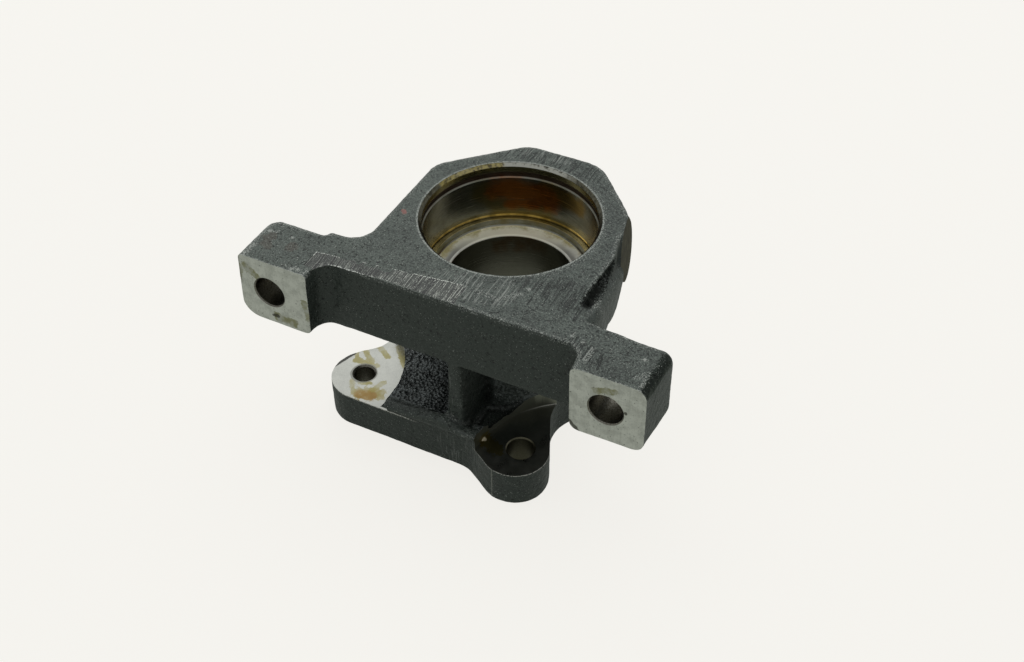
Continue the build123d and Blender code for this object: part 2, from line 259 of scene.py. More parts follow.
paint = Finish("cast_skin", Specular_IOR_Level=0.5, Specular_Tint=(0.94, 1.0, 0.95))
x, y, z = paint.axes()
around = paint.from_axis()
sand = paint.noise(0.0009, detail=3, rough=0.7)
lumps = paint.noise(0.0034, detail=2)
cloud = paint.noise(0.013, detail=3, rough=0.6)
speck = paint.noise(0.0007, detail=1, shift=7.3)
pits = paint.step(paint.noise(0.0015, detail=1, shift=3.1), 0.36, 0.29)
pebbles = paint.pebbles(0.0015)
fine_lines = paint.noise(0.0005, detail=1, stretch=(1, 26, 26))
long_lines = paint.noise(0.0008, detail=1, stretch=(1, 24, 24), shift=4.0)
upright_lines = paint.noise(0.0006, detail=1, stretch=(1, 1, 30))
uneven = (cloud - 0.5) * 1.6

# The flat top, the two pockets beside the rib, and a strip at the rib in the right pocket that is
# painted dark as shade and made partly metallic.
on_top = paint.step(z, TOP_Z - 0.0012, TOP_Z - 0.0006)
below_bar = paint.step(z, 0.0730, 0.0700) * paint.step(z, 0.0240, 0.0280) * paint.step(y, -0.030, -0.036)
pocket = (below_bar * paint.step(x, 0.0006, -0.0006) * paint.step(x, -0.050, -0.044)
          * paint.step(y, -0.0725, -0.0690))
right_pocket = (below_bar * paint.step(x, 0.0080, 0.0092) * paint.step(x, 0.042, 0.038)
                * paint.step(y, -0.0735, -0.0710))
# The strip at the rib in the right pocket is painted dark as shade.
right_pocket_shade = right_pocket * paint.step(x, 0.0150, 0.0125)
sandy = pocket + 0.26 * (right_pocket - right_pocket_shade)

# Edges that stand proud or sunk, and the rims left by the cutters beside bare iron. Proud edges are
# lightened as rubbed paint and as a painted highlight, sunk ones are darkened as painted shade, and the
# ears' cut rims are bare iron brightened as a painted highlight.
edge = paint.node("ShaderNodeAttribute", {"attribute_name": "edge"}, output="Fac")
# Proud edges are lightened, as rubbed paint and as a painted highlight.
proud = (paint.step(edge, 0.25, 0.9) * (0.25 + 0.75 * paint.step(z, 0.095, 0.105))
         * paint.step(x, 0.1050, 0.1030))
# Sunk edges and hollows are darkened as painted shade.
sunk_shade = paint.step(edge, -0.25, -0.9)
by_ear = paint.patches(ear_seat, [
    (0.0366, -0.0685, 0.0366, -0.0685, 0.0200),
    (-0.0600, -0.0558, -0.0400, -0.0720, 0.0200),
])
# The ears' cut rims: bare iron, brightened as a painted highlight.
ear_rim_highlight = by_ear * paint.step(abs(z - (EAR_SEAT_Z - 0.0002)), 0.0006, 0.0003) * paint.step(speck, 0.36, 0.50)
beside_cut = paint.step(abs(y - BOLTING_Y), 0.0008, 0.0003) * paint.step(z, 0.060, 0.065)
near_mouth = paint.step(x, 0.012, 0.024) * on_top * paint.step(around, 0.0515, 0.0485)
rim = (paint.step(abs(around - MOUTH_RIM_RADIUS), 0.0006, 0.0003) * on_top
       * paint.step(speck, 0.40, 0.56))

# Wear on the top: rubbed edges, scuffs, marks of the grinder, chips and single furrows.
edge_wear = paint.patches(top_face, [
    (-0.1062, -0.0850, -0.1058, -0.0580, 0.0035),
    (-0.1000, -0.0560, -0.0750, -0.0515, 0.0030),
    (-0.0800, -0.0845, -0.0690, -0.0845, 0.0030),
], uneven)
scuffed = paint.patches(top_face, [
    (-0.008, -0.0600, 0.022, -0.0560, 0.0090),
    (0.004, -0.0500, 0.020, -0.0490, 0.0050),
    (-0.024, 0.0540, 0.004, 0.0570, 0.0050),
], uneven)
ground = paint.patches(top_face, [
    (0.034, -0.0400, 0.064, -0.0450, 0.0090),
    (0.060, -0.0530, 0.072, -0.0520, 0.0060),
    (0.066, -0.0700, 0.078, -0.0760, 0.0060),
    (-0.030, 0.0510, 0.026, 0.0520, 0.0070),
], uneven)
fleck_lines = paint.patches(top_face, [(*line, 0.0014) for line in FLECK_LINES], 1.3 * uneven)
# A painted highlight along the ridge beside the crease, laid in as denser flecks.
ridge_highlight = paint.patch((0.0652, -0.0430, 0.1085), (0.0646, -0.0060, 0.1050), 0.0016, uneven)
# Flecks of rubbed paint, with painted glints added on the ridge and on proud edges.
flecks_and_glints = paint.step(speck + 0.10 * ridge_highlight + 0.07 * edge_wear + 0.035 * on_top + 0.10 * proud
                    + 0.17 * beside_cut + 0.07 * near_mouth + 0.12 * fleck_lines
                    + 0.12 * (cloud - 0.5), 0.67, 0.74)
scuffs = paint.step(fine_lines + 0.02 * uneven, 0.56, 0.66) * scuffed * on_top
furrows = paint.step(long_lines, 0.55, 0.63) * ground * on_top
chips = paint.patches(top_face, [(*at, *at, 0.0008) for at in PALE_CHIPS], (speck - 0.5) * 6.0)
dark_furrows = paint.patches(top_face, [(*line, 0.00036) for line in DARK_FURROWS], (lumps - 0.5) * 2.4)
pale_furrows = paint.patches(top_face, [(*line, 0.00026) for line in PALE_FURROWS], (speck - 0.5) * 3.5)
pitted = paint.patch(top_face(0.0427, -0.0401), top_face(0.0503, -0.0339), 0.0016, (sand - 0.5) * 4.0)
rust = paint.patches(top_face, [(*at, *at, 0.0034) for at in RUST_SPOTS], (lumps - 0.5) * 2.4)
red = paint.patch(top_face(-0.0494, -0.0213), top_face(-0.0508, -0.0199), 0.0012, (speck - 0.5) * 2.0)

# Below the top: streaks down the rib, painted shade in the crease beside the gusset and on the
# rolled edge at the bar's right end, and a painted highlight on the right ear's corner.
upright = paint.step(upright_lines, 0.58, 0.68) * paint.most([
    paint.patch((0.002, -0.0740, 0.012), (0.016, -0.0740, 0.020), 0.0120, uneven),
    paint.patch((0.004, -0.0735, 0.030), (0.004, -0.0735, 0.060), 0.0050, uneven),
])
# The crease is painted dark as shade, and made partly metallic and rough.
crease_shade = paint.patch((0.0616, -0.0430, 0.1090), (0.0610, -0.0040, 0.1050), 0.0032, (sand - 0.5) * 3.0)
# The rolled edge at the bar's right end is painted dark as shade, and made partly metallic.
rolled_edge_shade = paint.patch((0.1092, -0.0840, TOP_Z - 0.0020), (0.1092, -0.0620, TOP_Z - 0.0020), 0.0034,
                          0.7 * uneven)
# A thin bright line painted on the right ear's vertical corner as a highlight.
ear_corner_highlight = paint.patch((0.0318, -0.0861, 0.0010), (0.0318, -0.0861, 0.0200), 0.0005, (speck - 0.5) * 2.0)

grit = paint.step(0.75 * sand + 0.15 * cloud + 0.10 * lumps, 0.41, 0.59)
# The top is lighter towards the left, unevenly.
left_lighter = 0.22 * paint.step(x, 0.030, -0.060) + 0.12 * uneven
coat = paint.blend(grit * (0.24 + 0.76 * on_top) + (0.22 - 0.22 * on_top) + left_lighter * on_top,
                   PAINT_DARK, PAINT_LIGHT)
# The pockets' sand: painted glints on the crowns of its grains, over its dark hollows.
sand_glints = paint.blend(paint.step(pebbles + 1.2 * (cloud - 0.5) + 0.9 * (lumps - 0.5), 0.52, 1.05),
                         SAND_HOLLOW, SAND_CROWN_GLINT)
paint.show(
    Base_Color=paint.coats(coat, [
        (0.4 * rust, RUST),
        (0.6 * sunk_shade, PAINT_PIT_AND_SHADE),
        (0.35 * proud, PAINT_PROUD_WEAR_AND_HIGHLIGHT),
        (pits, PAINT_PIT_AND_SHADE),
        (0.8 * furrows, PAINT_PIT_AND_SHADE),
        (0.9 * dark_furrows, PAINT_PIT_AND_SHADE),
        (0.6 * pitted, PAINT_PIT_AND_SHADE),
        (0.5 * rolled_edge_shade, PAINT_PIT_AND_SHADE),
        (0.45 * scuffs, PAINT_RUBBED_AND_GLINT),
        (0.7 * ear_corner_highlight, CORNER_HIGHLIGHT),
        (0.6 * flecks_and_glints * (1.0 - pocket), PAINT_RUBBED_AND_GLINT),
        (0.7 * rim, PAINT_RUBBED_AND_GLINT),
        (0.8 * ear_rim_highlight, BARE_RIM_AND_HIGHLIGHT),
        (0.35 * upright, PAINT_RUBBED_AND_GLINT),
        (0.45 * right_pocket_shade, PAINT_PIT_AND_SHADE),
        (0.6 * chips, PAINT_RUBBED_AND_GLINT),
        (0.5 * pale_furrows, PAINT_RUBBED_AND_GLINT),
        (0.8 * red, RED_SPOT),
        (0.8 * sandy, sand_glints),
        (0.9 * crease_shade, PAINT_PIT_AND_SHADE),
    ]),
    Metallic=paint.most([0.45 * right_pocket_shade, 0.8 * rolled_edge_shade, 0.75 * crease_shade]),
    Roughness=paint.step(cloud, 0.2, 0.8) * 0.12 + 0.38 - 0.24 * pocket + 0.3 * crease_shade,
    Normal=paint.bump((0.16 + 0.24 * on_top) * sand + 0.90 * lumps + 0.8 * cloud - 0.24 * pits
                      - 0.24 * furrows - 0.5 * dark_furrows + 2.3 * sandy * pebbles + 0.10 * flecks_and_glints),
)


# The raw casting
# Iron poured in one piece. The bores aren't open yet and each place that will be machined carries
# stock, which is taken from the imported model's own faces and holes.

SKIN_PITCH = 0.0011
STOCK = 0.004
FOOT_TOP_Z = 0.0295
UP = (0, 0, 1)
REARWARD = (0, 1, 0)
THROUGH_RADIUS = 0.0331
LEFT_EAR = (-0.0610, -0.0550)
RIGHT_EAR = (0.0387, -0.0665)
LEFT_BAR_HOLE_X = -0.0908
RIGHT_BAR_HOLE_X = 0.0906
BAR_HOLE_Z = TOP_Z - 0.0195
BOSS_MIDDLE = Vector((0.0566, 0.0193, 0.0945))
BOSS_TURN = radians(13)
BOSS_TILT = radians(5)
BOSS_NORMAL = Vector((cos(BOSS_TURN) * cos(BOSS_TILT), sin(BOSS_TURN) * cos(BOSS_TILT), sin(BOSS_TILT)))
PLUGS = [
    ((0, 0, 0.0325), UP, 0.036, 0.065),
    ((0, 0, 0.0853), UP, 0.0485, 0.0504),
    ((*LEFT_EAR, EAR_SEAT_Z / 2), UP, 0.0085, EAR_SEAT_Z),
    ((*RIGHT_EAR, EAR_SEAT_Z / 2), UP, 0.0095, EAR_SEAT_Z),
    ((LEFT_BAR_HOLE_X, -0.0706, BAR_HOLE_Z), REARWARD, 0.0105, 0.0304),
    ((RIGHT_BAR_HOLE_X, -0.0706, BAR_HOLE_Z), REARWARD, 0.0105, 0.0304),
]


def along(axis):
    """Turn that lays a cylinder's own axis along another."""
    return Vector(axis).to_track_quat("Z", "Y").to_matrix().to_4x4()


def pour_round(raw, middle, axis, radius, length):
    """Adds a cylinder of iron."""
    bmesh.ops.create_cone(raw, cap_ends=True, segments=96, radius1=radius, radius2=radius, depth=length,
                          matrix=Matrix.Translation(middle) @ along(axis))


def pour_in(raw, outline, low, high):
    """Adds an upright prism of iron, given by its outline in plan."""
    floor = [raw.verts.new((x, y, low)) for x, y in outline]
    roof = [raw.verts.new((x, y, high)) for x, y in outline]
    added = [raw.faces.new(floor[::-1]), raw.faces.new(roof)]
    for i, corner in enumerate(floor):
        j = (i + 1) % len(floor)
        added.append(raw.faces.new((corner, floor[j], roof[j], roof[i])))
    bmesh.ops.recalc_face_normals(raw, faces=added)


def add_stock(raw, normal, level, thickness):
    """Raises the flat faces that look along normal at a level, so that there is iron to cut."""
    normal = Vector(normal)
    flat = [f for f in raw.faces if f.normal.dot(normal) > 0.999
            and abs(f.calc_center_median().dot(normal) - level) < 0.0002]
    raised = bmesh.ops.extrude_face_region(raw, geom=flat)["geom"]
    verts = [g for g in raised if isinstance(g, bmesh.types.BMVert)]
    bmesh.ops.translate(raw, verts=verts, vec=normal * thickness)


raw = bmesh.new()
raw.from_mesh(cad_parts["bearing_block"].data)
bmesh.ops.remove_doubles(raw, verts=raw.verts, dist=1e-6)
raw.normal_update()
add_stock(raw, (0, -1, 0), -BOLTING_Y, STOCK)
add_stock(raw, (0, 0, 1), EAR_SEAT_Z, FOOT_TOP_Z - EAR_SEAT_Z)
add_stock(raw, (0, 0, -1), 0, STOCK)
add_stock(raw, BOSS_NORMAL, BOSS_MIDDLE.dot(BOSS_NORMAL), STOCK / 2)
for plug in PLUGS:
    pour_round(raw, *plug)
# The crisp rear edge of the bar's left end, and of its right end, whose outer edge is rolled over.
pour_in(raw, [(-0.1054, -0.0800), (-0.0745, -0.0800), (-0.0745, -0.0542), (-0.0995, -0.0541),
              (-0.1020, -0.0544), (-0.1040, -0.0554), (-0.1052, -0.0574), (-0.1055, -0.0612)], 0.0760, TOP_Z)
for reach, drop in ((0.1070, 0.0), (0.1092, 0.0009), (0.1108, 0.0026)):
    pour_in(raw, [(0.0640, -0.0700), (reach, -0.0700), (reach, -0.0606), (reach - 0.0013, -0.0588),
                  (reach - 0.0045, -0.0575 + drop / 4), (0.0777, -0.0552), (0.0640, -0.0545)],
            0.0800, TOP_Z - drop)
# The full front edge where the bar will be ground back.
pour_in(raw, [(-0.0780, -0.0718), (0.0060, -0.0718), (0.0060, -0.0500), (-0.0780, -0.0600)], 0.1040, TOP_Z)
# The hollow beside the left ear is filled, and the right ear has a slight corner.
pour_in(raw, [(-0.0740, -0.0442), (-0.0600, -0.0500), (-0.0550, -0.0350), (-0.0620, -0.0290),
              (-0.0636, -0.0332), (-0.0669, -0.0370), (-0.0706, -0.0402)], 0.0, FOOT_TOP_Z)
pour_in(raw, [(0.0225, -0.0799), (0.0318, -0.0861), (0.0390, -0.0861), (0.0370, -0.0700), (0.0260, -0.0720)],
        0.0, FOOT_TOP_Z)
pour_round(raw, BOSS_MIDDLE - 0.001 * BOSS_NORMAL, BOSS_NORMAL, 0.0165, 0.006)
mould = bpy.data.meshes.new("raw_casting")
raw.to_mesh(mould)
raw.free()

casting = bpy.data.objects.new("casting", mould)
scene.collection.objects.link(casting)
pour = casting.modifiers.new("pour", "REMESH")
pour.mode = "VOXEL"
pour.voxel_size = SKIN_PITCH
skin = bpy.data.meshes.new_from_object(casting.evaluated_get(bpy.context.evaluated_depsgraph_get()))
casting.modifiers.clear()
casting.data = skin
skin.materials.clear()
skin.materials.append(paint.material)


def measured(vectors, name):
    """Three numbers for each point, read from the mesh into an array."""
    flat = np.empty(len(vectors) * 3, np.float32)
    vectors.foreach_get(name, flat)
    return flat.reshape(-1, 3).astype(float)


def reshape_skin(points):
    skin.vertices.foreach_set("co", points.astype(np.float32).ravel())
    skin.update()


points = measured(skin.vertices, "co")
ends = np.empty(len(skin.edges) * 2, np.int32)
skin.edges.foreach_get("vertices", ends)
start, end = ends.reshape(-1, 2).T
valence = np.bincount(ends, minlength=len(points))


def spread(values):
    """Mean of each point's neighbours."""
    total = np.bincount(start, values[end], len(points)) + np.bincount(end, values[start], len(points))
    return total / valence


SMOOTHINGS = 3
SHARP_BEND = 0.00005
for _ in range(SMOOTHINGS):
    points += 0.5 * (np.stack([spread(points[:, i]) for i in range(3)], axis=1) - points)
reshape_skin(points)
normals = measured(skin.vertex_normals, "vector")

bend = -sum((spread(points[:, i]) - points[:, i]) * normals[:, i] for i in range(3)) / SHARP_BEND
bend = 0.5 * bend + 0.5 * spread(bend)
mark = skin.attributes.new("edge", "FLOAT", "POINT")
mark.data.foreach_set("value", np.clip(bend, -1, 1).astype(np.float32))

# The sand's relief: broad waves, lumps and grains, by their number in a metre. It is calm on the
# flat top, rough in the left pocket, and a dark crease is sunk beside the gusset.
WAVES, LUMPS, GRAINS = 45.0, 160.0, 420.0
TOP_CALM = 0.35
CREASE_DEPTH = 0.0021
CREASE_REACH = 0.0034
INSIDE_BOX = 0.00002


def pocket_share(p):
    """How far a point lies in the rough pocket between the rib and the left ear, from 0 to 1."""
    inside = min(-0.001 - p[0], p[0] + 0.052, -0.036 - p[1], p[1] + 0.0705, 0.0735 - p[2], p[2] - 0.024)
    return min(max(inside / 0.004, 0.0), 1.0)


def from_crease(p):
    """Distance from the crease's line, which runs back and slightly down."""
    share = min(max((p[1] + 0.043) / 0.039, 0.0), 1.0)
    return hypot(p[0] - 0.0614 + 0.0008 * share, p[1] + 0.043 - 0.039 * share, p[2] - 0.1090 + 0.0035 * share)


lift = np.empty(len(points))
for i, p in enumerate(points):
    wave, lump, grain = (noise.noise(Vector(p) * pitch) for pitch in (WAVES, LUMPS, GRAINS))
    rough = pocket_share(p)
    calm = TOP_CALM if p[2] > TOP_Z - 0.0009 else 1.0
    lift[i] = (calm * (0.00020 * wave + 0.00014 * lump) + (0.00010 + 0.00085 * rough) * grain
               - 0.00006 - 0.0003 * rough)
    sink = CREASE_DEPTH * max(0.0, 1 - (from_crease(p) / CREASE_REACH) ** 2)
    lift[i] -= sink * (0.8 + 1.2 * grain + 0.8 * lump)
points += normals * lift[:, None]
reshape_skin(np.clip(points, np.array(cad_low) + INSIDE_BOX, np.array(cad_high) - INSIDE_BOX))


# Machined steel
# The finishes of the places cut after casting: the milled bolting faces, the ears' seats, the
# turned bore, the drilled holes, the boss, the underside and the ground strip on the bar. They are
# bare iron with the marks of the tool and a film of old oil, and the strip is painted over.

def bolting_face(x, z):
    return x, BOLTING_Y, z


milled = Finish("milled_faces", Metallic=1.0)
x, y, z = milled.axes()
mottle = milled.noise(0.005, detail=4, rough=0.65)
grain = milled.noise(0.0007, detail=2, shift=2.2)
lines = milled.noise(0.0008, detail=2, stretch=(1, 1, 30))
ragged = (milled.noise(0.004, detail=3, rough=0.7) - 0.5) * 2.6
film = milled.patches(bolting_face, [
    (-0.1069, 0.1029, -0.1079, 0.0941, 0.0016),
    (-0.1031, 0.1043, -0.0969, 0.0989, 0.0022),
    (-0.0879, 0.0759, -0.0785, 0.0755, 0.0026),
    (-0.0702, 0.0922, -0.0688, 0.0809, 0.0016),
    (0.0855, 0.1015, 0.0941, 0.1037, 0.0020),
], ragged)
dirt = milled.patches(bolting_face, [
    (0.1003, 0.0934, 0.1003, 0.0934, 0.0008),
    (0.0736, 0.0759, 0.0773, 0.0716, 0.0011),
    (-0.0905, 0.0762, -0.0880, 0.0766, 0.0010),
], ragged)
pits = milled.step(milled.noise(0.0011, detail=0, shift=5.0), 0.27, 0.21)
left_rim = milled.step(x + 0.0016 * (mottle - 0.5), -0.1060, -0.1074) * milled.step(z, 0.090, 0.097)
soft = milled.step(mottle, 0.30, 0.62)
iron = milled.blend(milled.step(0.6 * mottle + 0.2 * lines + 0.2 * grain, 0.38, 0.60),
                    (0.54, 0.55, 0.50), (0.72, 0.73, 0.67))
milled.show(
    Base_Color=milled.coats(iron, [
        (0.8 * film * soft, (0.26, 0.25, 0.10)),
        (0.7 * pits, (0.16, 0.16, 0.14)),
        (0.6 * left_rim, (0.12, 0.12, 0.07)),
        (0.8 * dirt, (0.05, 0.045, 0.03)),
    ]),
    Roughness=milled.step(lines, 0.2, 0.8) * 0.10 + 0.40 + 0.1 * film,
    Normal=milled.bump(0.045 * lines + 0.016 * grain - 0.06 * pits),
)

seat = Finish("ear_seats")
x, y, z = seat.axes()
mottle = seat.noise(0.006, detail=4, rough=0.6)
grain = seat.noise(0.0008, detail=2, shift=2.2)
ragged = (seat.noise(0.003, detail=3, rough=0.7) - 0.5) * 2.4
film = seat.patches(ear_seat, [
    (-0.0733, -0.0428, -0.0690, -0.0486, 0.0013),
    (-0.0701, -0.0394, -0.0610, -0.0470, 0.0017),
    (-0.0704, -0.0484, -0.0582, -0.0476, 0.0019),
    (-0.0654, -0.0335, -0.0559, -0.0386, 0.0016),
    (-0.0545, -0.0291, -0.0447, -0.0401, 0.0020),
    (-0.0640, -0.0630, -0.0590, -0.0700, 0.0014),
    (-0.0590, -0.0625, -0.0545, -0.0605, 0.0014),
    (-0.0510, -0.0660, -0.0480, -0.0570, 0.0016),
], ragged)
fringe = seat.patch(ear_seat(-0.0550, -0.0690), ear_seat(-0.0465, -0.0655), 0.0045, ragged)
amber = seat.patch(ear_seat(-0.0545, -0.0695), ear_seat(-0.0490, -0.0685), 0.0034, 0.6 * ragged)
shoulder = seat.patch(ear_seat(-0.0785, -0.0575), ear_seat(-0.0738, -0.0440), 0.0009, 0.3 * ragged)
oil = seat.patch(ear_seat(0.0180, -0.0690), ear_seat(0.0285, -0.0725), 0.0040, ragged)
pale_chip = seat.patch(ear_seat(0.0172, -0.0700), ear_seat(0.0192, -0.0692), 0.0013, 0.5 * ragged)
wall = seat.step(z, EAR_SEAT_Z + 0.0002, EAR_SEAT_Z + 0.0006)
# The right ear's seat is painted darker as shade.
right_ear_shaded = seat.step(x, -0.005, 0.005)
# A painted highlight on the thin strip at the foot of the right ear's wall.
foot_highlight = seat.step(abs(z - EAR_SEAT_Z - 0.0005), 0.00045, 0.00035) * seat.step(x, 0.026, 0.040)
from_hole = seat.length(seat.vector("SUBTRACT", seat.place, ear_seat(-0.0612, -0.0551)))
sunk_ring = seat.step(from_hole + 0.0012 * (mottle - 0.5), 0.0078, 0.0071)
soft = seat.step(mottle, 0.30, 0.60)
iron = seat.blend(seat.step(0.7 * mottle + 0.3 * grain, 0.34, 0.66),
                  (0.28, 0.285, 0.262), (0.36, 0.366, 0.335))
# The right ear's wall is painted with a ramp of light, darker to the left and lighter to the right.
right_wall_light_ramp = seat.blend(seat.step(x, 0.034, 0.056), (0.18, 0.185, 0.145), (0.42, 0.425, 0.36))
seat.show(
    Base_Color=seat.coats(iron, [
        ((0.40 + 0.5 * soft) * film, (0.20, 0.18, 0.075)),
        (0.8 * sunk_ring, (0.13, 0.13, 0.115)),
        ((0.40 + 0.5 * soft) * fringe, (0.19, 0.16, 0.055)),
        ((0.45 + 0.5 * soft) * amber, (0.185, 0.120, 0.045)),
        (0.9 * shoulder, (0.02, 0.02, 0.018)),
        (0.55 * right_ear_shaded, (0.09, 0.09, 0.07)),
        (0.85 * wall * right_ear_shaded, right_wall_light_ramp),
        (0.9 * foot_highlight, (0.62, 0.62, 0.56)),
        (0.75 * oil, (0.18, 0.145, 0.035)),
        (0.9 * pale_chip, (0.66, 0.60, 0.46)),
    ]),
    Metallic=1.0 - seat.most([0.7 * foot_highlight, 0.95 * pale_chip]),
    Roughness=seat.step(mottle, 0.2, 0.8) * 0.10 + 0.24 + 0.14 * wall + 0.05 * grain,
    Normal=seat.bump(0.012 * grain),
)

SEAT_RADIUS = 0.0450
LEDGE_Z = TOP_Z - 0.0389
RELIEF_Z = 0.0767
GROOVE_Z = 0.1038
LAND_Z = 0.1071


def seat_wall(azimuth, height):
    """Place on the bearing seat's wall, by its angle from the X axis and its height."""
    return SEAT_RADIUS * cos(radians(azimuth)), SEAT_RADIUS * sin(radians(azimuth)), height


def through_wall(azimuth, height):
    """Place on the through bore's wall, by its angle from the X axis and its height."""
    return THROUGH_RADIUS * cos(radians(azimuth)), THROUGH_RADIUS * sin(radians(azimuth)), height


turned = Finish("turned_bore", Metallic=1.0)
x, y, z = turned.axes()
around = turned.from_axis()
rings = turned.noise(0.0005, detail=2, stretch=(60, 60, 1))
mottle = turned.noise(0.009, detail=4, rough=0.65)
clots = turned.noise(0.007, detail=5, rough=0.65, shift=2.0)
spots = turned.noise(0.0022, detail=4, rough=0.7, shift=1.5)
ragged = (turned.noise(0.010, detail=4, rough=0.65) - 0.5) * 2.0
ledge = turned.step(abs(z - LEDGE_Z), 0.0008, 0.0003)
below = turned.step(z, LEDGE_Z, LEDGE_Z - 0.0008)
seat_foot = turned.step(abs(z - RELIEF_Z), 0.0006, 0.0002)
groove = turned.step(abs(z - GROOVE_Z), 0.0020, 0.0014)
land = turned.step(abs(z - LAND_Z), 0.0017, 0.0013)
mouth = turned.step(z, TOP_Z - 0.0021, TOP_Z - 0.0018)

# Stains of old oil on the walls, each from one angle and height to another, with a width.
olive = turned.patches(seat_wall, [(136, 0.094, 122, 0.080, 0.0065), (124, 0.080, 92, 0.081, 0.005)],
                       ragged, 0.45)
red = turned.patches(seat_wall, [
    (122, 0.0945, 104, 0.0925, 0.0075),
    (104, 0.0940, 90, 0.0900, 0.0065),
    (117, 0.084, 98, 0.086, 0.0035),
], ragged, 0.45)
amber = turned.patches(seat_wall, [(92, 0.0950, 64, 0.0950, 0.0055), (88, 0.0960, 70, 0.0970, 0.0040)],
                       ragged, 0.45)
mouth_film = turned.patches(seat_wall, [
    (165, 0.1100, 146, 0.1100, 0.0030),
    (146, 0.1100, 124, 0.1100, 0.0030),
], ragged, 0.45)
through_film = turned.patches(through_wall, [(124, 0.0650, 92, 0.0680, 0.0065)], ragged, 0.45)
ledge_film = turned.step(1.6 * clots + 90.0 * (around - 0.0388), 0.66, 1.12)

# The mouth's chamfer is rubbed bright at the rear, and the ledge gets a painted highlight towards the rear.
rearward = turned.vector("DOT_PRODUCT", turned.place, (-0.449, 0.893, 0), output="Value")
rear = (turned.step(rearward + 0.010 * (mottle - 0.5), 0.027, 0.038) * turned.step(x, 0.040, 0.004)
        * turned.step(spots + 130.0 * (0.0466 - around), 0.34, 0.56))
red_stain = turned.blend(turned.step(mottle, 0.35, 0.6), (0.30, 0.085, 0.016), (0.50, 0.165, 0.022))
dull_mouth = turned.blend(turned.step(spots, 0.35, 0.65), (0.045, 0.042, 0.026), (0.18, 0.17, 0.12))
bright_mouth = (0.60, 0.60, 0.53)
mouth_stain = turned.blend(turned.step(spots, 0.38, 0.54), (0.12, 0.095, 0.035), (0.46, 0.38, 0.13))
gold_line = turned.blend(turned.step(mottle, 0.36, 0.60), (0.52, 0.41, 0.16), (0.84, 0.68, 0.32))
ledge_iron = turned.blend(turned.step(around + 0.006 * (mottle - 0.5), 0.0350, 0.0395),
                          (0.25, 0.25, 0.225), (0.68, 0.68, 0.60))
ledge_iron = turned.coats(ledge_iron, [
    (turned.step(around, 0.0346, 0.0342), turned.blend(mottle, (0.50, 0.50, 0.45), (0.95, 0.95, 0.88))),
    (0.80 * turned.step(rearward, 0.016, 0.036), (1.0, 0.97, 0.76)),
])
iron = turned.blend(turned.step(mottle, 0.3, 0.7), (0.17, 0.17, 0.135), (0.26, 0.26, 0.22))
turned.show(
    Base_Color=turned.coats(iron, [
        (0.8 * olive, (0.20, 0.155, 0.05)),
        (0.85 * amber, (0.27, 0.17, 0.028)),
        (0.92 * red, red_stain),
        (0.75 * groove, (0.10, 0.060, 0.038)),
        (0.7 * land, (0.34, 0.31, 0.15)),
        (0.9 * mouth, turned.blend(rear, dull_mouth, bright_mouth)),
        (0.85 * mouth_film, mouth_stain),
        (0.8 * seat_foot, gold_line),
        (0.75 * below, (0.17, 0.165, 0.13)),
        (0.7 * through_film * turned.step(mottle, 0.35, 0.6), (0.12, 0.065, 0.022)),
        (ledge, ledge_iron),
        (0.8 * ledge_film * ledge, (0.42, 0.35, 0.10)),
    ]),
    Metallic=1.0 - 0.75 * ledge,
    Roughness=turned.step(rings, 0.2, 0.8) * 0.08 + 0.20 + 0.26 * ledge + 0.15 * groove,
    Normal=turned.bump(0.020 * rings),
)

drilled = Finish("drilled_holes", Metallic=1.0, Roughness=0.34)
x, y, z = drilled.axes()
rings = drilled.noise(0.0007, detail=2)
oily = drilled.step(x, 0.02, 0.03) * drilled.step(z, 0.03, 0.025)
iron = drilled.blend(drilled.step(rings, 0.3, 0.7), (0.15, 0.14, 0.11), (0.30, 0.29, 0.25))
drilled.show(
    Base_Color=drilled.blend(0.8 * oily, iron, (0.085, 0.080, 0.045)),
    Normal=drilled.bump(0.05 * rings),
)

boss_face = Finish("boss_face", Specular_IOR_Level=0.08)
streak = boss_face.noise(0.0010, detail=3, stretch=(1, 1, 14))
mottle = boss_face.noise(0.004, detail=3, rough=0.6)
across = boss_face.vector("MULTIPLY", boss_face.place, (0, 1, 1))
from_oil = boss_face.length(boss_face.vector("SUBTRACT", across, (0, 0.030, 0.085)))
oiled = boss_face.step(from_oil + 0.0016 * (mottle - 0.5), 0.0330, 0.0310)
iron = boss_face.blend(boss_face.step(streak, 0.3, 0.7), (0.36, 0.35, 0.31), (0.46, 0.45, 0.41))
oily = boss_face.blend(boss_face.step(0.5 * streak + 0.5 * mottle, 0.35, 0.65),
                       (0.030, 0.027, 0.014), (0.080, 0.075, 0.042))
boss_face.show(
    Base_Color=boss_face.blend(0.9 * oiled, iron, oily),
    Metallic=1.0 - oiled,
    Roughness=0.42 + 0.3 * oiled,
    Normal=boss_face.bump(0.02 * streak),
)

underside = Finish("underside", Metallic=1.0)
mottle = underside.noise(0.006, detail=4, rough=0.6)
lines = underside.noise(0.0012, detail=2, stretch=(24, 1, 1))
underside.show(
    Base_Color=underside.blend(underside.step(mottle, 0.3, 0.7), (0.30, 0.30, 0.275), (0.40, 0.40, 0.37)),
    Roughness=underside.step(lines, 0.2, 0.8) * 0.12 + 0.34,
    Normal=underside.bump(0.03 * lines),
)

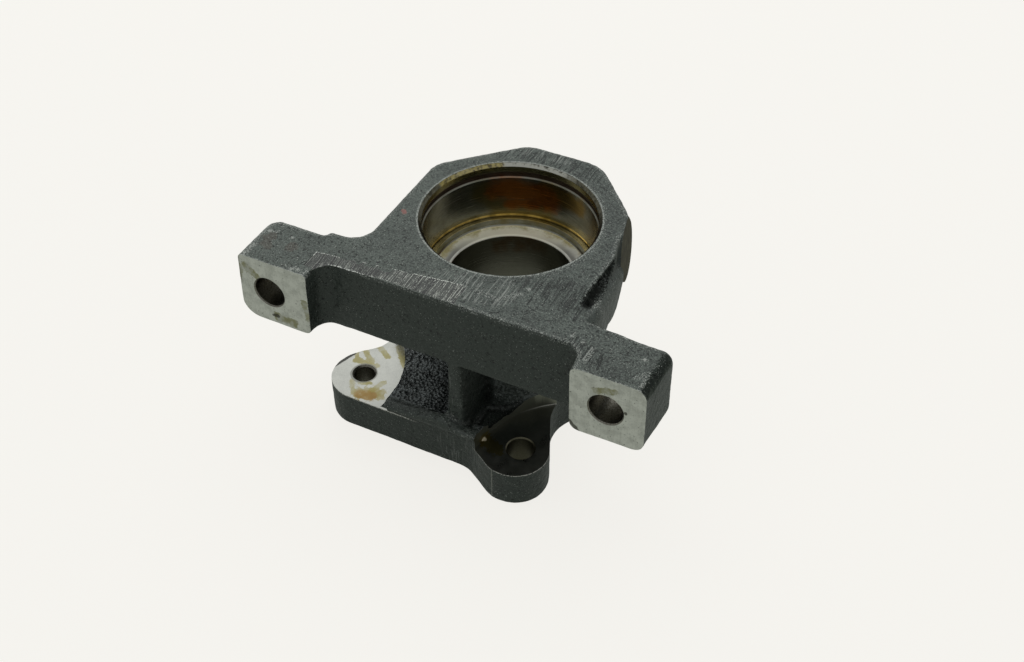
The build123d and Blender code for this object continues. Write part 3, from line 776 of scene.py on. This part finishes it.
# The ground strip along the bar's front edge has paint over its coarse lines, rubbed off again.
bevel = Finish("ground_bevel", Specular_IOR_Level=0.5, Roughness=0.42)
x, y, z = bevel.axes()
fine = bevel.noise(0.00045, detail=2, stretch=(1, 30, 30))
broad = bevel.noise(0.0012, detail=2, stretch=(1, 18, 18), shift=3.3)
speck = bevel.noise(0.0007, detail=1, shift=7.3)
sand = bevel.noise(0.0010, detail=3, rough=0.65)
cloud = bevel.noise(0.011, detail=3, rough=0.6)
bright = bevel.step(0.65 * fine + 0.25 * speck + 0.10 * cloud, 0.535, 0.595)
worn = bevel.step(x + 0.03 * (cloud - 0.5), -0.060, -0.010)
# A painted highlight along the strip's upper border and its left end, over flecks of bare iron that also run
# along the front edge.
behind_strip = y + 0.0673 - 0.13 * (x + 0.0728)
upper_border_highlight = bevel.step(behind_strip + 0.0016 * (cloud - 0.5), -0.0009, -0.0003)
front = bevel.step(y - 0.0008 * (cloud - 0.5), -0.0706, -0.0714) * bevel.step(x, -0.066, -0.060)
left_end_highlight = bevel.step(x, -0.0718, -0.0724) * bevel.step(y, -0.0710, -0.0700)
flecks_and_border_highlight = bevel.step(speck + 0.14 * upper_border_highlight + 0.15 * front + 0.2 * left_end_highlight, 0.60, 0.67)
tone = bevel.blend(bevel.step(0.5 * broad + 0.3 * sand + 0.2 * cloud, 0.40, 0.60),
                   (0.007, 0.009, 0.007), (0.052, 0.060, 0.050))
bevel.show(
    Base_Color=bevel.coats(bevel.blend(bevel.step(broad, 0.42, 0.36), tone, (0.006, 0.007, 0.006)), [
        (bright * (0.35 + 0.50 * worn), (0.55, 0.58, 0.51)),
        (flecks_and_border_highlight * (0.10 + 0.8 * upper_border_highlight + 0.7 * front + 0.6 * left_end_highlight), (0.62, 0.65, 0.59)),
    ]),
    Normal=bevel.bump(0.22 * fine + 0.30 * broad + 0.16 * sand + 0.12 * flecks_and_border_highlight),
)


# The machined places
# The bolting faces, the foot's underside and the boss are faced, and a large cutter sweeps both
# ears level. The bore is turned in steps, and the bolt holes are drilled and countersunk. The front
# top edge of the bar is ground back, deepest near its left end.

tools = []


def tool(name, body, finish):
    """A cutter whose surface leaves a finish on the iron."""
    mesh = bpy.data.meshes.new(name)
    body.normal_update()
    body.to_mesh(mesh)
    body.free()
    mesh.materials.append(finish.material)
    cutter = bpy.data.objects.new(name, mesh)
    scene.collection.objects.link(cutter)
    tools.append(cutter)


def mill(name, low, high, finish):
    """Cuts away a block between two corners."""
    body = bmesh.new()
    size = Vector(high) - Vector(low)
    middle = (Vector(low) + Vector(high)) / 2
    bmesh.ops.create_cube(body, size=1.0, matrix=Matrix.Translation(middle) @ Matrix.Diagonal((*size, 1)))
    tool(name, body, finish)


def turn_profile(name, profile, finish, place=Matrix.Identity(4), steps=96):
    """Cuts away a turned form, given as radius and height up its axis from foot to top."""
    body = bmesh.new()
    rows = []
    for radius, height in profile:
        turns = [2 * pi * i / steps for i in range(steps)] if radius else [0.0]
        rows.append([body.verts.new(place @ Vector((radius * cos(turn), radius * sin(turn), height)))
                     for turn in turns])
    for lower, upper in zip(rows, rows[1:]):
        for i in range(steps):
            j = (i + 1) % steps
            if len(lower) == 1:
                body.faces.new((lower[0], upper[j], upper[i]))
            elif len(upper) == 1:
                body.faces.new((lower[i], lower[j], upper[0]))
            else:
                body.faces.new((lower[i], lower[j], upper[j], upper[i]))
    tool(name, body, finish)


BOSS_CUTTER = 0.0175
mill("facing_cut", (-0.14, -0.12, 0.060), (0.14, BOLTING_Y, 0.130), milled)
mill("underside_cut", (-0.14, -0.12, -0.02), (0.14, 0.12, 0.0), underside)
turn_profile("boss_cut", [(0, 0), (BOSS_CUTTER, 0), (BOSS_CUTTER, 0.02), (0, 0.02)], boss_face,
             Matrix.Translation(BOSS_MIDDLE) @ along(BOSS_NORMAL), steps=160)
mill("nick_cut", (0.0682, -0.0486, TOP_Z - 0.0007), (0.0706, -0.0448, 0.120), paint)

# The bevel's place along the bar, its width there and its drop at the bar's front.
BEVEL_RUN = [(-0.0727, 0.0047, 0.0001), (-0.0600, 0.0062, 0.0013), (0.0060, 0.0149, 0.0004)]
BAR_FRONT_Y = -0.072
OVERRUN = 0.007
SHALLOW_Z = TOP_Z - 0.00008
ABOVE_Z = TOP_Z + 0.002
wedge = bmesh.new()
rows = []
for place, width, drop in BEVEL_RUN:
    rear_y, front_y = BAR_FRONT_Y + width, BAR_FRONT_Y - OVERRUN
    deep_z = SHALLOW_Z - drop * (1 + OVERRUN / width)
    rows.append([wedge.verts.new(corner) for corner in ((place, rear_y, SHALLOW_Z), (place, rear_y, ABOVE_Z),
                                                        (place, front_y, ABOVE_Z), (place, front_y, deep_z))])
wedge.faces.new(rows[0])
wedge.faces.new(rows[-1][::-1])
for near, far in zip(rows, rows[1:]):
    for i in range(4):
        j = (i + 1) % 4
        wedge.faces.new((near[j], near[i], far[i], far[j]))
bmesh.ops.recalc_face_normals(wedge, faces=wedge.faces)
tool("bevel_cut", wedge, bevel)

SEAT_CUTTER = 0.0547
for side, middle in (("left", (-0.0902, -0.0691)), ("right", (0.0732, -0.0754))):
    turn_profile(side + "_seat_cut", [
        (0, EAR_SEAT_Z),
        (SEAT_CUTTER, EAR_SEAT_Z),
        (SEAT_CUTTER, 0.060),
        (0, 0.060),
    ], seat, Matrix.Translation((*middle, 0)), steps=256)

RELIEF_RADIUS = 0.0455
GROOVE_RADIUS = 0.04675
LAND_RADIUS = 0.0452
RECESS_RADIUS = 0.0417
turn_profile("bore_cut", [
    (0, -0.001),
    (THROUGH_RADIUS, -0.001),
    (THROUGH_RADIUS, TOP_Z - 0.0397),
    (THROUGH_RADIUS + 0.0008, TOP_Z - 0.0389),
    (0.0405, TOP_Z - 0.0389),
    (RECESS_RADIUS, TOP_Z - 0.0377),
    (RECESS_RADIUS, TOP_Z - 0.0340),
    (RELIEF_RADIUS, TOP_Z - 0.0340),
    (RELIEF_RADIUS, TOP_Z - 0.0326),
    (SEAT_RADIUS, TOP_Z - 0.0326),
    (SEAT_RADIUS, TOP_Z - 0.0090),
    (0.0457, TOP_Z - 0.0083),
    (GROOVE_RADIUS, TOP_Z - 0.0083),
    (GROOVE_RADIUS, TOP_Z - 0.0051),
    (LAND_RADIUS, TOP_Z - 0.0051),
    (LAND_RADIUS, TOP_Z - 0.0018),
    (0.0468, TOP_Z),
    (0.0478, TOP_Z + 0.0010),
    (0, TOP_Z + 0.0010),
], turned, steps=256)

BAR_DRILL = 0.0085
for side, middle, radius, sink in (("left", LEFT_EAR, 0.0057, 0.0009), ("right", RIGHT_EAR, 0.00715, 0.0006)):
    turn_profile(side + "_ear_drill", [
        (0, -0.001),
        (radius, -0.001),
        (radius, EAR_SEAT_Z - sink),
        (radius + sink, EAR_SEAT_Z),
        (radius + 2 * sink, EAR_SEAT_Z + sink),
        (0, EAR_SEAT_Z + sink),
    ], drilled, Matrix.Translation((*middle, 0)))
for side, across in (("left", LEFT_BAR_HOLE_X), ("right", RIGHT_BAR_HOLE_X)):
    turn_profile(side + "_bar_drill", [
        (0, -0.036),
        (BAR_DRILL, -0.036),
        (BAR_DRILL, -0.0006),
        (0.0091, 0.0),
        (0.0097, 0.0006),
        (0, 0.0006),
    ], drilled, Matrix.Translation((across, BOLTING_Y, BAR_HOLE_Z)) @ along((0, -1, 0)))

for cutter in tools:
    cut = casting.modifiers.new(cutter.name, "BOOLEAN")
    cut.operation = "DIFFERENCE"
    cut.solver = "MANIFOLD"
    cut.material_mode = "TRANSFER"
    cut.object = cutter
made = bpy.data.meshes.new_from_object(casting.evaluated_get(bpy.context.evaluated_depsgraph_get()))
casting.modifiers.clear()
casting.data = made
for cutter in tools:
    bpy.data.objects.remove(cutter)
made.shade_smooth()
made.set_sharp_from_angle(angle=radians(35))
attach(casting, "root")
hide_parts("bearing_block")


# The floor
# A plain pale studio table. Part of its white is its own, so that it stays even, and part is the
# light that falls on it, so that the block casts its soft shadow. Metal mirrors it dimmer.

FLOOR_OWN = (0.823, 0.809, 0.772)
FLOOR_LIT = (0.116, 0.115, 0.110)
FLOOR_IN_METAL = (0.225, 0.235, 0.215)
FLOOR_DIM = (0.20, 0.21, 0.19)
FLOOR_REACH = 6.0
FLOOR_Z = -0.00005

table = Finish("studio_table", Roughness=1.0, Specular_IOR_Level=0.0, Emission_Strength=1.0)
ray = table.node("ShaderNodeLightPath", output="Is Camera Ray")
gloss = table.node("ShaderNodeLightPath", output="Is Glossy Ray")
table.show(
    Base_Color=table.blend(ray, table.blend(gloss, FLOOR_DIM, FLOOR_IN_METAL), FLOOR_LIT),
    Emission_Color=table.blend(ray, table.blend(gloss, (0, 0, 0), FLOOR_IN_METAL), FLOOR_OWN),
)
sheet = bmesh.new()
bmesh.ops.create_grid(sheet, x_segments=1, y_segments=1, size=FLOOR_REACH)
floor_mesh = bpy.data.meshes.new("studio_floor")
sheet.to_mesh(floor_mesh)
sheet.free()
floor_mesh.materials.append(table.material)
floor = bpy.data.objects.new("studio_floor", floor_mesh)
floor.location = (0, 0, FLOOR_Z)
scene.collection.objects.link(floor)


# The light
# One wide soft box hangs above and behind the block to its left, in a dim even room. It gives the
# block its soft shadow, and the room fills the hollows.

ROOM_COLOUR = (0.98, 1.0, 1.0, 1)
ROOM_STRENGTH = 0.42
SOFT_BOX_SIDE = 3.2
SOFT_BOX_WATTS = 42

world = bpy.data.worlds.new("studio")
world.use_nodes = True
room = world.node_tree.nodes["Background"]
room.inputs["Color"].default_value = ROOM_COLOUR
room.inputs["Strength"].default_value = ROOM_STRENGTH
scene.world = world
soft_box = bpy.data.lights.new("soft_box", "AREA")
soft_box.shape = "RECTANGLE"
soft_box.size = SOFT_BOX_SIDE
soft_box.size_y = SOFT_BOX_SIDE
soft_box.energy = SOFT_BOX_WATTS
hanging = bpy.data.objects.new("soft_box", soft_box)
hanging.location = (-0.6, 1.2, 2.0)
scene.collection.objects.link(hanging)


# The camera
# It stands where the photo was taken, above and to the right of the bolting faces. Its place and
# lens were worked out from the bore's circles and the drilled faces.

camera = bpy.data.cameras.new("camera")
camera.sensor_width = 36.0
camera.lens = 45.564
eye = bpy.data.objects.new("camera", camera)
eye.location = (0.23396, -0.46517, 0.51364)
eye.rotation_euler = Euler((radians(47.17989), radians(0.14783), radians(26.49191)), "XYZ")
scene.collection.objects.link(eye)
scene.camera = eye
scene.view_settings.view_transform = "Standard"
